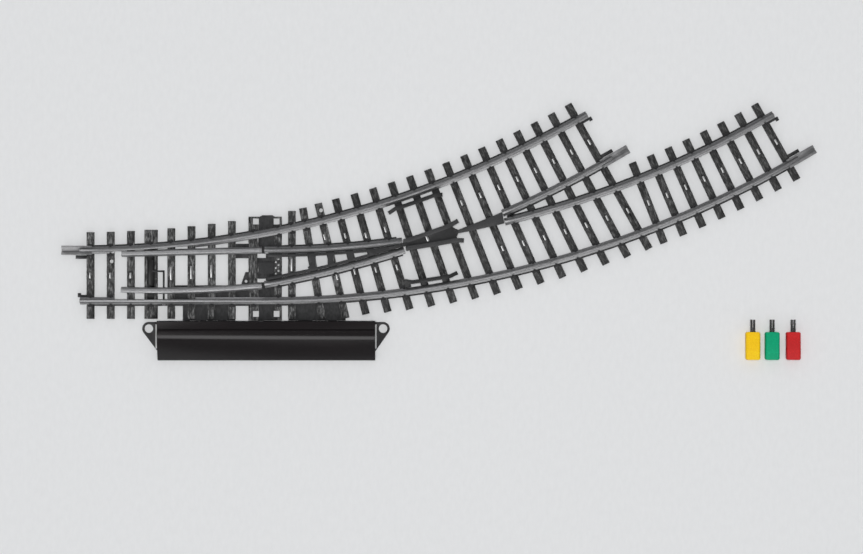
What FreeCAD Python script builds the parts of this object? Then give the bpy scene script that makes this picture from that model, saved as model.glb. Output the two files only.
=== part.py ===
"""Curved left-hand H0 turnout with two coils in a side box, and three wire plugs.

Frame: millimetres; the origin is the track joint at the entry, on the baseboard.
+X runs along the straight entry, +Y is the inner side of the curve, +Z is up.
"""
import FreeCAD, Part
import Sketcher
import math
import os
import re

Vector = FreeCAD.Vector
UP = Vector(0, 0, 1)

DIMENSIONS = [
    ("radius", 360.0), ("parallel_shift", 64.6), ("turn_angle", 30.0),
    ("rail_offset", 8.75), ("rail_height", 2.5), ("foot_width", 2.5), ("head_width", 1.0),
    ("web_width", 0.7), ("foot_edge", 0.3), ("tie_width", 2.6), ("throw_tie_width", 4.5),
    ("tie_height", 2.4), ("tie_half", 15.0), ("tie_pitch", 7.0), ("first_tie", 3.6),
    ("panel_height", 1.0), ("bed_height", 0.9), ("strip_height", 1.2),
    ("pivot_station", 60.2), ("tip_station", 14.5), ("heel_station", 63.0),
    ("throw_station", 24.6), ("switch_throw", 1.7),
    ("peg_radius", 0.45), ("hole_play", 0.1), ("stud_width", 0.6), ("stud_length", 2.0),
    ("stud_height", 2.0), ("lever_thickness", 0.7), ("lever_hub", 1.6), ("lever_short", 8.0),
    ("lever_long", 11.9), ("box_length", 75.4), ("box_start", 26.9),
    ("ear_spacing", 81.2), ("ear_hole", 1.5), ("ear_ring", 2.3), ("ear_thickness", 1.6),
    ("coil_radius", 2.0), ("coil_length", 14.0), ("plunger_radius", 1.2),
    ("plunger_length", 26.0), ("tube_wall", 0.24), ("joiner_width", 3.1),
    ("joiner_sheet", 0.25), ("joiner_length", 10.6), ("joiner_reach", 6.4),
    ("plug_width", 5.0), ("plug_length", 9.6), ("plug_height", 4.6), ("plug_pin", 0.9),
    ("plug_pin_length", 4.3), ("track_screw_radius", 0.7),
]

doc = FreeCAD.newDocument("Turnout")
sheet = doc.addObject("Spreadsheet::Sheet", "Dims")
for row, (alias, number) in enumerate(DIMENSIONS, start=1):
    sheet.set(f"A{row}", alias)
    sheet.set(f"B{row}", str(number))
    sheet.setAlias(f"B{row}", alias)
doc.recompute()
SIZE = dict(DIMENSIONS)

RADIUS = SIZE["radius"]
SHIFT = SIZE["parallel_shift"]
RAIL = SIZE["rail_offset"]
TIE_TOP = SIZE["tie_height"]
RAIL_TOP = TIE_TOP + SIZE["rail_height"]
TURN = math.radians(SIZE["turn_angle"])
PIVOT_X = SIZE["pivot_station"]
THROW_X = SIZE["throw_station"]
WIRE_X = THROW_X + 4.4
LEVER_X = WIRE_X + SIZE["lever_short"]
LEVER_Y = -9.6
PLUNGER_Y = LEVER_Y - SIZE["lever_long"]
PLUNGER_Z = 3.8
OPENING = math.degrees(math.asin(SIZE["switch_throw"] / (PIVOT_X - THROW_X)))
PEG_PLAY = SIZE["peg_radius"] + SIZE["hole_play"]


def linked(text):
    """Turn plain alias names into references to the sheet."""
    return re.sub(r"([A-Za-z_]\w*)", r"Dims.\1", text)


def number_of(value):
    """Read a number or a sheet expression as a plain number."""
    if isinstance(value, str):
        return float(sheet.evalExpression(value))
    return float(value)


def bind(thing, prop, value):
    """Set a size, through the sheet when it is given by name."""
    if isinstance(value, str):
        thing.setExpression(prop, linked(value))
    else:
        setattr(thing, prop, value)


def place(thing, x, y, z, angle=0.0, about=Vector(0, 0, 0)):
    """Move a thing and turn it in plan."""
    turn = FreeCAD.Rotation(UP, angle)
    thing.Placement = FreeCAD.Placement(Vector(x, y, z), turn, about)
    return thing


def block(x, y, z, length, width, height, angle=0.0):
    """A box centred on x, y in plan, standing on z."""
    thing = doc.addObject("Part::Box", "block")
    for prop, value in (("Length", length), ("Width", width), ("Height", height)):
        bind(thing, prop, value)
    half = Vector(-number_of(length) / 2, -number_of(width) / 2, 0)
    turn = FreeCAD.Rotation(UP, angle)
    thing.Placement = FreeCAD.Placement(Vector(x, y, z) + turn.multVec(half), turn)
    return thing


def span(x0, x1, y0, y1, z0, z1):
    """A box between two corners."""
    return block((x0 + x1) / 2, (y0 + y1) / 2, z0, x1 - x0, y1 - y0, z1 - z0)


def rod(x, y, z, radius, height, along=UP):
    """A cylinder from x, y, z along a direction."""
    thing = doc.addObject("Part::Cylinder", "rod")
    bind(thing, "Radius", radius)
    bind(thing, "Height", height)
    thing.Placement = FreeCAD.Placement(Vector(x, y, z), FreeCAD.Rotation(UP, along))
    return thing


def outline(points, plane="XY"):
    """A closed, fully dimensioned sketch through the points."""
    sketch = doc.addObject("Sketcher::SketchObject", "outline")
    if plane == "YZ":
        cycle = FreeCAD.Rotation(Vector(0, 1, 0), Vector(0, 0, 1), Vector(1, 0, 0), "ZXY")
        sketch.Placement = FreeCAD.Placement(Vector(0, 0, 0), cycle)
    corners = [Vector(number_of(u), number_of(v), 0) for u, v in points]
    count = len(corners)
    for i in range(count):
        sketch.addGeometry(Part.LineSegment(corners[i], corners[(i + 1) % count]))
    for i in range(count):
        sketch.addConstraint(Sketcher.Constraint("Coincident", i, 2, (i + 1) % count, 1))
    for i, (u, v) in enumerate(points):
        for kind, value, number in (("DistanceX", u, corners[i].x), ("DistanceY", v, corners[i].y)):
            row = sketch.addConstraint(Sketcher.Constraint(kind, -1, 1, i, 1, number))
            if isinstance(value, str):
                sketch.setExpression(f"Constraints[{row}]", linked(value))
    return sketch


def extrude(sketch, direction, length):
    """Push a sketch along a direction."""
    thing = doc.addObject("Part::Extrusion", "extrude")
    thing.Base = sketch
    thing.DirMode = "Custom"
    thing.Dir = direction
    bind(thing, "LengthFwd", length)
    thing.Solid = True
    return thing


def prism(points, z, height):
    """A plan outline pushed up from z."""
    thing = extrude(outline(points), UP, height)
    thing.Placement.Base = Vector(0, 0, z)
    return thing


def arc_bar(points, shift, start, end):
    """Turn a cross-section about one curve centre, between two angles in degrees."""
    sketch = outline(points, "YZ")
    thing = doc.addObject("Part::Revolution", "arc_bar")
    thing.Source = sketch
    thing.Axis = UP
    thing.Base = Vector(0, RADIUS, 0)
    thing.Angle = end - start
    thing.Solid = True
    about = Vector(0, RADIUS, 0)
    turn = FreeCAD.Rotation(UP, start)
    thing.Placement = FreeCAD.Placement(Vector(shift, 0, 0), turn, about)
    return thing


def straight_bar(points, x0, x1):
    """Push a cross-section along X."""
    thing = extrude(outline(points, "YZ"), Vector(1, 0, 0), x1 - x0)
    thing.Placement.Base = Vector(x0, 0, 0)
    return thing


def join(things, label):
    """Fuse things into one named piece."""
    if len(things) == 1:
        things[0].Label = label
        return things[0]
    fused = doc.addObject("Part::MultiFuse", label)
    fused.Shapes = things
    fused.Refine = True
    return fused


def cut(base, tools, label):
    """Take tools out of a base."""
    result = doc.addObject("Part::Cut", label)
    result.Base = base
    result.Tool = join(tools, label + "_tools")
    result.Refine = True
    return result


def group(things, label):
    """Keep separate equal pieces together under one name."""
    thing = doc.addObject("Part::Compound", label)
    thing.Links = things
    return thing


def inner(length, offset=0.0):
    """Plan point and heading in degrees on the inner route."""
    turn = length / RADIUS
    reach = RADIUS - offset
    return reach * math.sin(turn), RADIUS - reach * math.cos(turn), math.degrees(turn)


def outer(length, offset=0.0):
    """Plan point and heading in degrees on the outer route."""
    if length <= SHIFT:
        return length, offset, 0.0
    x, y, heading = inner(length - SHIFT, offset)
    return x + SHIFT, y, heading


def arc_y(x, reach, shift=0.0):
    """Height in plan of a circle of the curve at one station."""
    return RADIUS - math.sqrt(reach ** 2 - (x - shift) ** 2)


def angle_at(x, reach, shift=0.0):
    """Angle in degrees along a circle of the curve at one station."""
    return math.degrees(math.asin((x - shift) / reach))


def rail_section(offset):
    """Flat-bottomed rail on tie top, its centre at a plan offset."""
    top = "tie_height + rail_height"
    foot = "tie_height + foot_edge"
    side = [
        ("foot_width / 2", "tie_height"), ("foot_width / 2", foot),
        ("web_width / 2", foot + " + 0.35"), ("web_width / 2", top + " - 0.85"),
        ("head_width / 2", top + " - 0.65"), ("head_width / 2", top + " - 0.15"),
        ("head_width / 2 - 0.15", top),
    ]
    right = [(f"{offset} + {u}", v) for u, v in side]
    left = [(f"{offset} - ({u})", v) for u, v in reversed(side)]
    return right + left


def flat_section(low, high, z0, z1):
    """Rectangle across the track."""
    return [(low, z0), (high, z0), (high, z1), (low, z1)]


PIECES = []


def piece(thing, label):
    """Name a finished piece and keep it for export."""
    thing.Label = label
    PIECES.append(thing)
    return thing


# Stations of the ties
FIRST = SIZE["first_tie"]
PITCH = SIZE["tie_pitch"]
HALF = SIZE["tie_half"]
STRAIGHT_TIES = [FIRST + PITCH * k for k in range(8)]
FAN_TIES = [93.4 + PITCH * k for k in range(14)]
OUTER_TIES = [200.1 + PITCH * k for k in range(8)]
ROUTE_LENGTH = RADIUS * TURN
OUTER_LENGTH = SHIFT + ROUTE_LENGTH


def slanted_tie(start, end, width="tie_width"):
    """A tie between two plan points."""
    dx = end[0] - start[0]
    dy = end[1] - start[1]
    angle = math.degrees(math.atan2(dy, dx)) + 90
    middle = ((start[0] + end[0]) / 2, (start[1] + end[1]) / 2)
    return block(middle[0], middle[1], 0, width, math.hypot(dx, dy), "tie_height", angle)


def fan_reach(turn):
    """Distance from the inner centre to the far end of a tie across both routes."""
    far = RADIUS + HALF
    return SHIFT * math.sin(turn) + math.sqrt(far ** 2 - (SHIFT * math.cos(turn)) ** 2)


PANEL_LOW = 0.6
BED_LOW = 1.2
STRIP_LOW = 1.0


def tie_blocks():
    """Every tie, with the wide heel plate and the lower panels between ties."""
    made = []
    for x in STRAIGHT_TIES:
        top = arc_y(x, RADIUS) + HALF
        width = "throw_tie_width" if abs(x - THROW_X) < 0.1 else "tie_width"
        made.append(slanted_tie((x, top), (x, -HALF), width))
    made.append(slanted_tie((73.4, 22.4), (73.4, -15.0)))
    made.append(slanted_tie((77.2, 23.4), (83.9, -14.9)))
    made.append(slanted_tie((82.5, 25.0), (92.1, -14.8)))
    for length in FAN_TIES:
        turn = length / RADIUS
        start = (
            (RADIUS - HALF) * math.sin(turn),
            RADIUS - (RADIUS - HALF) * math.cos(turn),
        )
        far = fan_reach(turn)
        made.append(slanted_tie(start, (far * math.sin(turn), RADIUS - far * math.cos(turn))))
    for length in OUTER_TIES:
        left = outer(length, HALF)
        right = outer(length, -HALF)
        made.append(slanted_tie(left[:2], right[:2]))
    made.append(span(58.4, 61.9, -15.6, 20.4, 0, TIE_TOP))
    made.append(span(67.4, 69.9, -15.6, 20.4, 0, TIE_TOP))
    heel_panel = [
        (61.0, -15.6), (68.0, -15.6), (68.0, 20.1), (66.6, 20.9), (63.2, 20.9), (61.6, 20.1),
        (61.0, 20.1),
    ]
    made.append(prism(heel_panel, PANEL_LOW, "panel_height"))
    for x0, x1, y1 in ((35.6, 53.8, -9.6), (72.2, 92.0, -9.2)):
        middle = ((x0 + x1) / 2, (y1 - 15.6) / 2)
        made.append(block(*middle, PANEL_LOW, x1 - x0, y1 + 15.6, "panel_height"))
    made.append(block(44.9, -5.85, BED_LOW, 28.2, 4.9, "bed_height"))
    made.append(block(55.3, 8.5, BED_LOW, 7.4, 5.0, "bed_height"))
    lug = [(58.8, 1.2), (57.3, 1.2), (56.0, -2.6), (56.0, -4.0), (58.8, -4.0)]
    made.append(prism(lug, BED_LOW, "bed_height"))
    return made


def strip_section(side):
    """Section of the strip beside a rail, mostly outside the gauge."""
    low, high = sorted((side * (RAIL - 0.4), side * (RAIL + 1.75)))
    return flat_section(low, high, STRIP_LOW, f"{STRIP_LOW} + strip_height")


def strip_bars():
    """Lengthways strips on the outer side of each rail that hold the ties together."""
    last = math.degrees(FAN_TIES[-1] / RADIUS)
    outer_last = math.degrees((OUTER_TIES[-1] - SHIFT) / RADIUS)
    left = strip_section(1)
    right = strip_section(-1)
    return [
        arc_bar(left, 0, math.degrees(FIRST / RADIUS), last),
        straight_bar(right, FIRST, SHIFT),
        arc_bar(right, SHIFT, 0, outer_last),
        arc_bar(right, 0, 23.6, last),
        arc_bar(left, SHIFT, 13.8, outer_last),
        straight_bar(left, 68.6, 73.4),
        arc_bar(left, SHIFT, 1.0, 7.4),
        arc_bar(right, 0, 10.8, 17.6),
    ]


STUD_LOW = 1.6
HEEL_POINTS = [(67.95 + 0.9 * (k % 2), 0.7 + 1.0 * k) for k in range(6)]


def inner_stud_places():
    """Studs of the inner route after the heel: station point, heading."""
    made = [(84.8, 13.3, 13.6), (91.9, 13.8, 14.9)]
    skipped = (114.4, 121.4, 128.4)
    for length in FAN_TIES[1:]:
        if min(abs(length - s) for s in skipped) > 0.1:
            made.append(inner(length))
    return made


def outer_stud_places():
    """Studs of the outer route after the heel, sitting on the ties."""
    made = [(89.1, -0.6, 13.5)]
    skipped = (114.4, 121.4, 128.4, 135.4)
    for length in FAN_TIES:
        if min(abs(length - s) for s in skipped) <= 0.1:
            continue
        turn = length / RADIUS
        sine = SHIFT * math.sin(turn)
        far = sine + math.sqrt(RADIUS ** 2 - (SHIFT * math.cos(turn)) ** 2)
        made.append((far * math.sin(turn), RADIUS - far * math.cos(turn), math.degrees(turn)))
    for length in OUTER_TIES:
        made.append(outer(length))
    return made


def entry_stud_places():
    """Studs before the heel: x, y, heading, length over the default."""
    made = [(x, 0.0, 0.0, "stud_length") for x in STRAIGHT_TIES[:3]]
    for x in STRAIGHT_TIES[4:7]:
        made.append((x, arc_y(x, RADIUS) / 2, 0.0, 4.5))
    made.append((73.4, 3.7, 0.0, 4.4))
    return made


def stud(x, y, heading, length="stud_length"):
    """One centre contact stud let into a tie."""
    return block(x, y, STUD_LOW, "stud_width", length, "stud_height", heading)


# Pieces of the track that stay still
left_rail = arc_bar(rail_section("rail_offset"), 0, 0, SIZE["turn_angle"])
NOTCH_END = 40.0
left_notch = [
    (12.0, arc_y(12, 351.25) - 0.5), (NOTCH_END, arc_y(NOTCH_END, 351.25) - 0.5),
    (NOTCH_END, 6.0), (12.0, 6.0),
]
left_stock = cut(left_rail, [prism(left_notch, TIE_TOP - 0.1, 1.0)], "left_stock_rail")
piece(left_stock, "left_stock_rail")
right_straight = straight_bar(rail_section("-rail_offset"), 0, SHIFT)
right_curve = arc_bar(rail_section("-rail_offset"), SHIFT, 0, SIZE["turn_angle"])
right_rail = join([right_straight, right_curve], "right_rail_raw")
right_notch = span(12.0, NOTCH_END, -RAIL + 0.5, -6.5, TIE_TOP - 0.1, TIE_TOP + 0.9)
piece(cut(right_rail, [right_notch], "right_stock_rail"), "right_stock_rail")

LEFT_REACH = RADIUS - RAIL
RIGHT_REACH = RADIUS + RAIL
CLOSURE_START = 64.0
left_closure = [
    straight_bar(rail_section("rail_offset"), CLOSURE_START, SHIFT),
    arc_bar(rail_section("rail_offset"), SHIFT, 0, angle_at(111.6, LEFT_REACH, SHIFT)),
]
piece(join(left_closure, "left_closure_rail"), "left_closure_rail")
right_closure = arc_bar(
    rail_section("-rail_offset"), 0,
    angle_at(CLOSURE_START, RIGHT_REACH), angle_at(112.4, RIGHT_REACH))
piece(right_closure, "right_closure_rail")
inner_exit = arc_bar(
    rail_section("-rail_offset"), 0, angle_at(146.4, RIGHT_REACH), SIZE["turn_angle"])
piece(inner_exit, "inner_exit_rail")
outer_exit = arc_bar(
    rail_section("rail_offset"), SHIFT, angle_at(147.2, LEFT_REACH, SHIFT), SIZE["turn_angle"])
piece(outer_exit, "outer_exit_rail")

# Crossing: floor, two wing rails, and the point
WING_UP = RIGHT_REACH - 2.9
WING_DOWN = LEFT_REACH + 2.7
WING_HALF = 0.75
FLOOR_TOP = TIE_TOP + 1.2


def wing(reach, shift, start, end, height):
    """A raised bar along a circle of the curve, between two stations."""
    low = RADIUS - reach - WING_HALF
    section = flat_section(low, low + 2 * WING_HALF, TIE_TOP, height)
    return arc_bar(section, shift, angle_at(start, reach, shift), angle_at(end, reach, shift))


def flared_end(x0, y0, x1, y1, width, z0, z1):
    """A short straight bar between two plan points."""
    angle = math.degrees(math.atan2(y1 - y0, x1 - x0))
    length = math.hypot(x1 - x0, y1 - y0)
    return block((x0 + x1) / 2, (y0 + y1) / 2, z0, length, width, z1 - z0, angle)


point_up = [(x, arc_y(x, RIGHT_REACH) + 0.5) for x in (131.0, 135.0, 139.0, 143.0, 146.2)]
point_down = [(x, arc_y(x, LEFT_REACH, SHIFT) - 0.5) for x in (147.0, 143.0, 139.0, 135.0, 131.0)]
floor_up = [(x, arc_y(x, WING_UP)) for x in (113.4, 118.0, 123.0, 128.0)]
floor_down = [(x, arc_y(x, WING_DOWN, SHIFT)) for x in (130.0, 125.0, 120.0, 113.4)]
floor_outline = floor_up + point_up + point_down + floor_down
mouth = [
    (107.0, 9.9), (111.8, 10.6), (112.0, 12.4), (113.4, 12.7), (113.4, 8.7), (113.0, 8.6),
    (112.8, 10.2), (107.0, 8.7),
]
frog = [
    prism(floor_outline, TIE_TOP, FLOOR_TOP - TIE_TOP),
    prism(mouth, TIE_TOP, FLOOR_TOP - TIE_TOP),
    prism(point_up + point_down, TIE_TOP, RAIL_TOP - TIE_TOP),
    wing(WING_UP, 0, 113.2, 128.6, RAIL_TOP),
    wing(WING_DOWN, SHIFT, 113.6, 130.8, RAIL_TOP),
    flared_end(112.1, arc_y(112.1, LEFT_REACH, SHIFT), 114.4, arc_y(114.4, WING_UP),
               1.2, TIE_TOP, RAIL_TOP),
    flared_end(113.1, arc_y(113.1, RIGHT_REACH), 114.8, arc_y(114.8, WING_DOWN, SHIFT),
               1.2, TIE_TOP, RAIL_TOP),
    flared_end(128.2, arc_y(128.2, WING_UP), 131.0, 19.0, 1.5, TIE_TOP, RAIL_TOP),
    flared_end(130.4, arc_y(130.4, WING_DOWN, SHIFT), 133.0, 12.15, 1.5, TIE_TOP, RAIL_TOP),
]
frog_body = join(frog, "frog_blocks")
frog_slot = block(120.4, 12.75, TIE_TOP - 0.1, 0.8, 1.9, 2, 20)
piece(cut(frog_body, [frog_slot], "frog_insert"), "frog_insert")
piece(block(120.4, 12.75, TIE_TOP, 0.8, 1.9, 1.6, 20), "frog_stud")

# Guide frame between the closure rails
GUIDE_TOP = TIE_TOP + 1.1
GUIDE_NEAR = 1.35
GUIDE_FAR = 2.35
guide = [
    arc_bar(flat_section(RAIL - GUIDE_FAR, RAIL - GUIDE_NEAR, TIE_TOP, GUIDE_TOP), SHIFT,
            0.1, angle_at(103, LEFT_REACH, SHIFT)),
    arc_bar(flat_section(-RAIL + GUIDE_NEAR, -RAIL + GUIDE_FAR, TIE_TOP, GUIDE_TOP), 0,
            angle_at(65.0, RIGHT_REACH), angle_at(103, RIGHT_REACH)),
]
for x, half in ((81.0, 0.65), (86.8, 0.95), (93.8, 1.05)):
    high = arc_y(x, LEFT_REACH + 2, SHIFT)
    guide.append(span(x - half, x + half, arc_y(x, RIGHT_REACH - 2), high, TIE_TOP, GUIDE_TOP))
guide.append(block(80.2, 5.9, TIE_TOP, 1.8, 1.8, GUIDE_TOP - TIE_TOP, 45))
guide.append(block(80.2, 2.8, TIE_TOP, 1.8, 1.8, GUIDE_TOP - TIE_TOP, 45))
guide_fill = [(x, arc_y(x, LEFT_REACH + GUIDE_NEAR, SHIFT)) for x in (100.0, 103.5, 106.95)]
guide_fill += [(x, arc_y(x, RIGHT_REACH - GUIDE_NEAR)) for x in (106.95, 103.5, 100.0)]
guide.append(prism(guide_fill, TIE_TOP, GUIDE_TOP - TIE_TOP))
piece(join(guide, "guide_frame"), "guide_frame")


# Check rails
CHECK_WIDTH = 1.3


def check_rail(side, shift, low, high, route, supports):
    """A guard bar beside a stock rail, turned inwards at both ends."""
    offset = 5.8 * side
    half = CHECK_WIDTH / 2
    section = flat_section(offset - half, offset + half, TIE_TOP, RAIL_TOP + 0.2)
    origin = SHIFT if shift else 0.0
    start = math.degrees((low + 2.4 - origin) / RADIUS)
    end = math.degrees((high - 2.4 - origin) / RADIUS)
    made = [arc_bar(section, shift, start, end)]
    for outside, inside in ((low, low + 2.6), (high, high - 2.6)):
        tip = route(outside, offset - 0.75 * side)
        root = route(inside, offset)
        ends = (tip[0], tip[1], root[0], root[1])
        made.append(flared_end(*ends, CHECK_WIDTH, TIE_TOP, RAIL_TOP + 0.2))
    for length in supports:
        x, y, heading = route(length, offset + 0.6 * side)
        made.append(block(x, y, TIE_TOP, 2.0, 2.0, 1.3, heading))
    return made


left_check = check_rail(1, 0, 110.2, 130.2, inner, (114.4, 121.4, 128.4))
piece(join(left_check, "left_check_rail"), "left_check_rail")
right_check = check_rail(-1, SHIFT, 112.0, 130.2, outer, (112.9, 118.6, 125.7))
piece(join(right_check, "right_check_rail"), "right_check_rail")

# Contact studs
entry_studs = [stud(x, y, heading, length) for x, y, heading, length in entry_stud_places()]
piece(group(entry_studs, "entry_studs"), "entry_studs")
inner_studs = [stud(x, y, heading) for x, y, heading in inner_stud_places()]
piece(group(inner_studs, "inner_studs"), "inner_studs")
outer_studs = [stud(x, y, heading) for x, y, heading in outer_stud_places()]
piece(group(outer_studs, "outer_studs"), "outer_studs")
heel_points = [block(x, y, STUD_LOW, 0.6, 0.6, 1.2) for x, y in HEEL_POINTS]
piece(group(heel_points, "heel_contacts"), "heel_contacts")
piece(span(61.95, 67.3, 0.6, 4.6, 1.6, 2.2), "heel_cover")

# Rail joiners and earth tabs at the three ends
EDGE = SIZE["joiner_width"] / 2
SHEET = SIZE["joiner_sheet"]


def joiner(end, heading, label):
    """A folded sleeve around a rail foot, half of it past the rail end."""
    low = TIE_TOP - 0.02 - SHEET
    lip = TIE_TOP + 0.62
    section = [
        (-EDGE, low), (EDGE, low), (EDGE, lip + SHEET), (0.62, lip + SHEET), (0.62, lip),
        (EDGE - SHEET, lip), (EDGE - SHEET, low + SHEET), (-EDGE + SHEET, low + SHEET),
        (-EDGE + SHEET, lip), (-0.62, lip), (-0.62, lip + SHEET), (-EDGE, lip + SHEET),
    ]
    reach = SIZE["joiner_reach"]
    sleeve = straight_bar(section, -reach, SIZE["joiner_length"] - reach)
    holder = group([sleeve], label)
    place(holder, end[0], end[1], 0, heading)
    return piece(holder, label)


def joiner_pocket(end, heading):
    """Room for a joiner's floor in the last tie."""
    return block(end[0], end[1], TIE_TOP - 0.3, 12, EDGE * 2 + 0.1, 1, heading)


inner_end = inner(ROUTE_LENGTH, -RAIL)
outer_end = outer(OUTER_LENGTH, -RAIL)
joiner((0, RAIL), 0, "rail_joiner_entry")
joiner(inner_end, inner_end[2] + 180, "rail_joiner_inner")
joiner(outer_end, outer_end[2] + 180, "rail_joiner_outer")


def tab(tie, turn, reach, label):
    """Contact bar beside the joined rail and a hook beside the other rail."""
    face = -SIZE["tie_width"] / 2
    tip = face - reach
    bar = span(tip, face, 5.8, 7.0, 1.0, 2.2)
    hook = join([
        span(tip + 0.7, face, -7.5, -6.7, 0.9, 2.0),
        span(tip + 0.7, tip + 1.8, -7.5, -6.1, 0.9, 2.0),
    ], label + "_hook")
    holder = group([bar, hook], label)
    place(holder, tie[0], tie[1], 0, tie[2] + turn)
    return piece(holder, label)


tab((FIRST, 0, 0), 0, 3.8, "contact_tab_entry")
tab(inner(FAN_TIES[-1]), 180, 4.3, "contact_tab_inner")
tab(outer(OUTER_TIES[-1]), 180, 4.2, "contact_tab_outer")

# Tie grid with its pockets
pockets = [joiner_pocket((0, RAIL), 0)]
pockets.append(joiner_pocket(inner_end, inner_end[2]))
pockets.append(joiner_pocket(outer_end, outer_end[2]))
for x, y, heading, length in entry_stud_places():
    pockets.append(block(x, y, STUD_LOW, "stud_width", length, 2, heading))
for x, y, heading in inner_stud_places() + outer_stud_places():
    pockets.append(block(x, y, STUD_LOW, "stud_width", "stud_length", 2, heading))
for x, y in HEEL_POINTS:
    pockets.append(block(x, y, STUD_LOW, 0.6, 0.6, 1.2))
for x in (60.9, 68.1):
    for y in (18.75, -13.3):
        pockets.append(block(x, y, -0.1, 2.1, 2.1, 3))
pockets.append(span(61.4, 64.4, 6.1, 7.6, -0.1, 3))
pockets.append(span(61.4, 64.4, -2.4, -1.1, -0.1, 3))
for x, y in ((10.9, 4.9), (83.5, 22.6)):
    pockets.append(rod(x, y, -0.1, "track_screw_radius", 3))
pockets.append(rod(57.5, -2.0, 0.5, 0.5, 2))
pockets.append(span(THROW_X - 1.25, THROW_X + 1.25, -9.9, 9.9, 1.05, 3))
pockets.append(span(THROW_X + 1.2, 27.2, -0.9, 2.1, 1.5, 3))
pockets.append(span(27.4, 41.4, -16.0, -7.6, -0.1, 1.0))
pockets.append(span(WIRE_X - 0.6, WIRE_X + 0.6, -12.2, -9.0, -0.1, 3))
pockets.append(span(WIRE_X - 0.6, WIRE_X + 0.6, -9.1, -7.6, 1.5, 3))
pockets.append(rod(LEVER_X, LEVER_Y, 0.9, 0.7, 0.6))
for y in (RAIL, arc_y(PIVOT_X, RIGHT_REACH)):
    pockets.append(rod(PIVOT_X, y, 1.0, PEG_PLAY, 3))
tie_grid = join(tie_blocks() + strip_bars(), "tie_grid")
whole_grid = cut(tie_grid, pockets, "whole_grid")
REGIONS = (
    ("entry_ties", [(-5, -40), (102.4, -40), (70.8, 82), (-5, 82)]),
    ("fan_ties", [(102.4, -40), (220, -40), (161.9, 82), (70.8, 82)]),
    ("outer_ties", [(220, -40), (270, -40), (270, 82), (161.9, 82)]),
)
for label, region in REGIONS:
    share = doc.addObject("Part::Common", label)
    share.Base = whole_grid
    share.Tool = prism(region, -1, 6)
    piece(share, label)

# Switch tongues
TONGUE_LOW = TIE_TOP + 0.06
TIP_X = SIZE["tip_station"]
HEEL_X = SIZE["heel_station"]
PEG_LOW = 1.35
PIN_LOW = 1.2
LEFT_PIVOT = Vector(PIVOT_X, RAIL, 0)
RIGHT_PIVOT = Vector(PIVOT_X, arc_y(PIVOT_X, RIGHT_REACH), 0)
LEFT_CLOSED = 1.46
RIGHT_CLOSED = -1.50


def tongue_section(offset):
    """Solid blade section with a wide foot."""
    base = TONGUE_LOW
    top = RAIL_TOP
    half = 1.15
    head = 0.75
    return [
        (offset - half, base), (offset + half, base), (offset + half, base + 0.5),
        (offset + head, base + 0.9), (offset + head, top - 0.15), (offset + head - 0.15, top),
        (offset - head + 0.15, top), (offset - head, top - 0.15), (offset - head, base + 0.9),
        (offset - half, base + 0.5),
    ]


def planed(stock_y, side):
    """Wedge that thins a tongue's tip on the side of its stock rail."""
    far = stock_y + side * 3
    return [(13.0, stock_y + side * 0.72), (13.0, far), (36.0, far), (36.0, stock_y + side * 1.2)]


def tongue(blade, pivot, angle, tip_wedge, peg_y, label):
    """Blade with a pivot pin below its heel and a peg below the throwbar station."""
    thinned = cut(blade, tip_wedge, label + "_blade")
    turned = group([thinned], label + "_turned")
    turned.Placement = FreeCAD.Placement(Vector(0, 0, 0), FreeCAD.Rotation(UP, angle), pivot)
    pin_top = TONGUE_LOW + 0.4
    pin = rod(pivot.x, pivot.y, PIN_LOW, "peg_radius", pin_top - PIN_LOW)
    peg = rod(THROW_X, peg_y, PEG_LOW, "peg_radius", pin_top - PEG_LOW)
    return piece(join([turned, pin, peg], label), label)


left_blade = straight_bar(tongue_section(RAIL), TIP_X, HEEL_X)
left_wedge = [prism(planed(RAIL, 1), TIE_TOP - 1, 5)]
left_peg_y = RAIL - math.tan(math.radians(LEFT_CLOSED)) * (PIVOT_X - THROW_X)
tongue(left_blade, LEFT_PIVOT, LEFT_CLOSED, left_wedge, left_peg_y, "left_tongue")

right_blade = arc_bar(
    tongue_section(-RAIL), 0, angle_at(TIP_X, RIGHT_REACH), angle_at(HEEL_X, RIGHT_REACH))
tip_y = arc_y(TIP_X, RIGHT_REACH)
right_wedge_outline = [
    (13.0, tip_y - 0.72), (13.0, tip_y - 3), (36.0, tip_y - 3),
    (36.0, arc_y(36.0, RIGHT_REACH) - 1.2), (24.0, arc_y(24.0, RIGHT_REACH) - 0.9),
]
right_wedge = [prism(right_wedge_outline, TIE_TOP - 1, 5)]
right_turn = math.radians(RIGHT_CLOSED - OPENING)
right_drop = arc_y(THROW_X, RIGHT_REACH) - RIGHT_PIVOT.y
right_swing = (THROW_X - PIVOT_X) * math.sin(right_turn)
right_peg_y = RIGHT_PIVOT.y + right_swing + right_drop * math.cos(right_turn)
tongue(right_blade, RIGHT_PIVOT, RIGHT_CLOSED - OPENING, right_wedge, right_peg_y, "right_tongue")

# Throwbar, its link wire, and the lever below
BAR_LOW = 1.2
BAR_TOP = 2.2
bar = [
    span(THROW_X - 1.1, THROW_X + 1.1, -7.9, 9.3, BAR_LOW, BAR_TOP),
    span(THROW_X - 0.9, THROW_X + 0.9, -3.4, 5.4, BAR_LOW, TIE_TOP),
]
SLOT = 2 * PEG_PLAY
bar_slots = []
for y in (left_peg_y, right_peg_y):
    bar_slots.append(block(THROW_X, y, 1.0, SLOT + 0.3, SLOT, 2))
bar_slots.append(span(THROW_X + 0.3, THROW_X + 2.0, 1.2, 1.8, 1.6, 3.0))
piece(cut(join(bar, "throwbar_solid"), bar_slots, "throwbar"), "throwbar")
wire = [
    span(THROW_X + 0.3, WIRE_X + 0.3, 1.2, 1.8, 1.6, 2.2),
    span(WIRE_X - 0.3, WIRE_X + 0.3, LEVER_Y - 0.45, 1.8, 1.6, 2.2),
    rod(WIRE_X, LEVER_Y, 0.3, "peg_radius", 1.6),
]
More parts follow.
